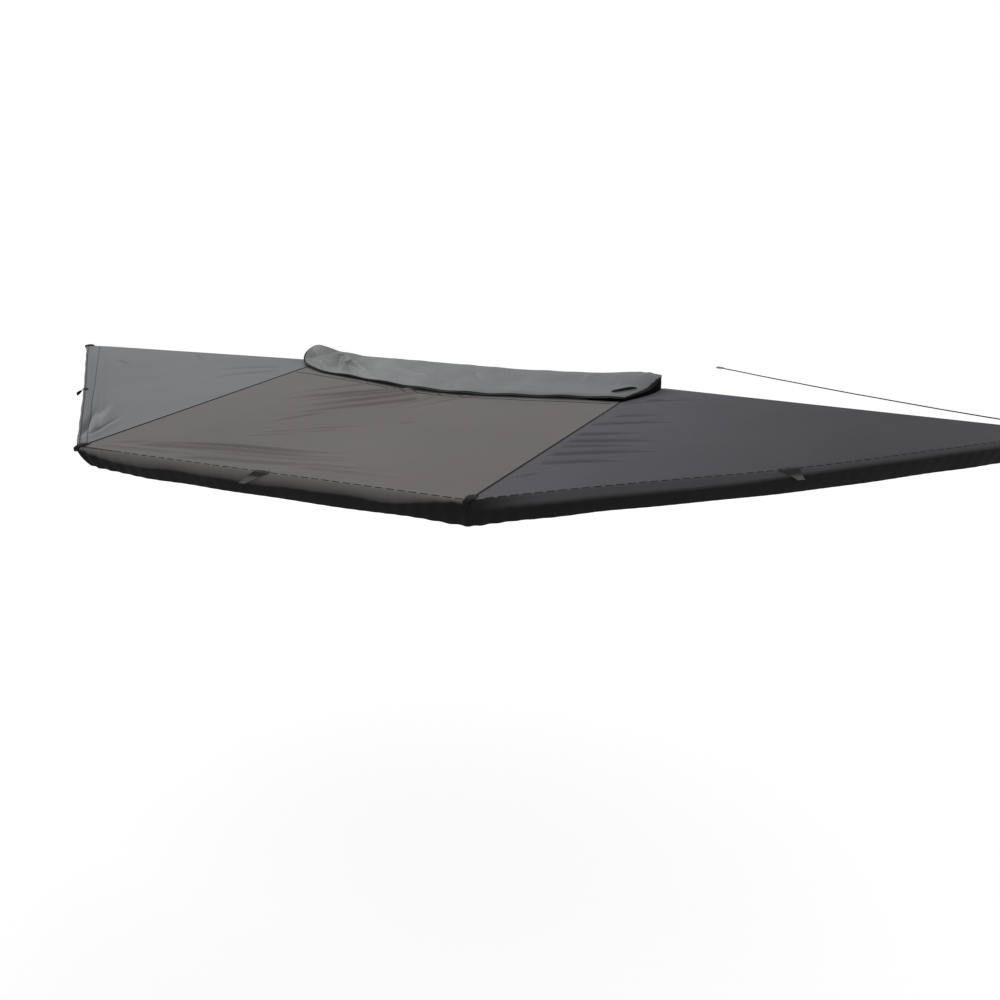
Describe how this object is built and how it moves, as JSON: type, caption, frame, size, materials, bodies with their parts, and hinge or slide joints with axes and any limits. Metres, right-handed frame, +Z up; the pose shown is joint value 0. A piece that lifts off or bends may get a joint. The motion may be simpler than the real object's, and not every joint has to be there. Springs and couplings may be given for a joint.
{
  "type": "vehicle side awning",
  "caption": "Free-standing vehicle side awning: a wall rail with end hubs, folding arms under a panelled canopy with a hanging valance, drop legs, an open cover flap and a stay rope.",
  "frame": {"origin": "middle of the rail's flat back face, halfway along it and halfway up it", "axes": "+X rearwards along the vehicle, +Y inwards to the vehicle out of the rail's back, +Z up; the awning opens towards -Y"},
  "size_m": [5.887, 2.4297, 0.2165],
  "materials": {
    "rail_alloy": "black anodised extrusion, satin",
    "arm_alloy": "black powder coated tube, satin",
    "leg_alloy": "clear anodised tube, satin",
    "coated_steel": "black powder coat, fine texture",
    "zinc_steel": "zinc plated, semi bright",
    "moulded_plastic": "moulded black nylon, fine grain",
    "foot_rubber": "moulded black rubber",
    "front_canopy_cloth": "coated ripstop canvas, bluish grey",
    "centre_canopy_cloth": "coated ripstop canvas, warm grey",
    "rear_canopy_cloth": "coated ripstop canvas, dark bluish grey",
    "valance_cloth": "black coated canvas",
    "tie_webbing": "grey canvas tab",
    "strap_webbing": "black webbing",
    "cover_cloth": "PVC coated fabric, soft sheen",
    "rope": "braided black cord"
  },
  "bodies": {
    "base": {"rail": "rail_alloy", "rail_end_cap_front": "moulded_plastic", "rail_end_cap_rear": "moulded_plastic", "rack_bracket_front": "coated_steel", "rack_bolt_front_1": "zinc_steel", "rack_bolt_front_2": "zinc_steel", "hub_bracket_front": "coated_steel", "hub_bolt_front_1": "zinc_steel", "hub_bolt_front_2": "zinc_steel", "side_pivot_front": "zinc_steel", "rack_bracket_rear": "coated_steel", "rack_bolt_rear_1": "zinc_steel", "rack_bolt_rear_2": "zinc_steel", "hub_bracket_rear": "coated_steel", "hub_bolt_rear_1": "zinc_steel", "hub_bolt_rear_2": "zinc_steel", "side_pivot_rear": "zinc_steel", "cover_flap": "cover_cloth", "canopy_centre": "centre_canopy_cloth", "valance_centre": "valance_cloth", "tie_centre": "tie_webbing", "stay_rope": "rope", "stay_hook": "zinc_steel"},
    "front_side_arm": {"front_side_knuckle": "coated_steel", "front_end_pin": "zinc_steel", "front_side_tube": "arm_alloy", "front_side_tip_cap": "moulded_plastic", "front_side_corner_strap": "strap_webbing", "front_leg_bracket": "coated_steel", "front_leg_clip": "moulded_plastic", "canopy_front": "front_canopy_cloth", "valance_front": "valance_cloth", "tie_front": "tie_webbing"},
    "front_end_arm": {"front_end_knuckle": "coated_steel", "front_end_tube": "arm_alloy", "front_end_tip_cap": "moulded_plastic", "front_end_corner_strap": "strap_webbing"},
    "front_leg": {"front_leg_head": "moulded_plastic", "front_leg_outer_tube": "arm_alloy"},
    "front_leg_inner": {"front_leg_inner_tube": "leg_alloy", "front_leg_foot": "foot_rubber"},
    "rear_side_arm": {"rear_side_knuckle": "coated_steel", "rear_end_pin": "zinc_steel", "rear_side_tube": "arm_alloy", "rear_side_tip_cap": "moulded_plastic", "rear_side_corner_strap": "strap_webbing", "rear_leg_bracket": "coated_steel", "rear_leg_clip": "moulded_plastic", "canopy_rear": "rear_canopy_cloth", "valance_rear": "valance_cloth", "tie_rear": "tie_webbing"},
    "rear_end_arm": {"rear_end_knuckle": "coated_steel", "rear_end_tube": "arm_alloy", "rear_end_tip_cap": "moulded_plastic", "rear_end_corner_strap": "strap_webbing"},
    "rear_leg": {"rear_leg_head": "moulded_plastic", "rear_leg_outer_tube": "arm_alloy"},
    "rear_leg_inner": {"rear_leg_inner_tube": "leg_alloy", "rear_leg_foot": "foot_rubber"}
  },
  "joints": [
    {"name": "front_side", "type": "hinge", "parent": "base", "child": "front_side_arm", "pos_m": [-1, -0.136, 0], "axis": [0, 0, 1], "range_deg": [0, 86.6], "deforming": ["cover_flap"]},
    {"name": "front_end", "type": "hinge", "parent": "front_side_arm", "child": "front_end_arm", "pos_m": [-1.03594, -0.13814, 0], "axis": [0, 0, 1], "range_deg": [0, 91.1], "deforming": ["canopy_front", "valance_front", "tie_front"]},
    {"name": "front_leg_fold", "type": "hinge", "parent": "front_side_arm", "child": "front_leg", "pos_m": [-0.89384, -1.92285, -0.056], "axis": [-0.9982, -0.0593, 0], "range_deg": [0, 90]},
    {"name": "front_leg_slide", "type": "slide", "parent": "front_leg", "child": "front_leg_inner", "axis": [-0.0593, 0.9982, 0], "range_m": [0, 1.1]},
    {"name": "rear_side", "type": "hinge", "parent": "base", "child": "rear_side_arm", "pos_m": [1, -0.064, 0], "axis": [0, 0, -1], "range_deg": [0, 86.6], "deforming": ["canopy_centre", "valance_centre", "tie_centre"]},
    {"name": "rear_end", "type": "hinge", "parent": "rear_side_arm", "child": "rear_end_arm", "pos_m": [1.03594, -0.06614, 0], "axis": [0, 0, -1], "range_deg": [0, 91.1], "deforming": ["canopy_rear", "valance_rear", "tie_rear"]},
    {"name": "rear_leg_fold", "type": "hinge", "parent": "rear_side_arm", "child": "rear_leg", "pos_m": [0.89384, -1.85085, -0.056], "axis": [-0.9982, 0.0593, 0], "range_deg": [0, 90]},
    {"name": "rear_leg_slide", "type": "slide", "parent": "rear_leg", "child": "rear_leg_inner", "axis": [0.0593, 0.9982, 0], "range_m": [0, 1.1]}
  ]
}
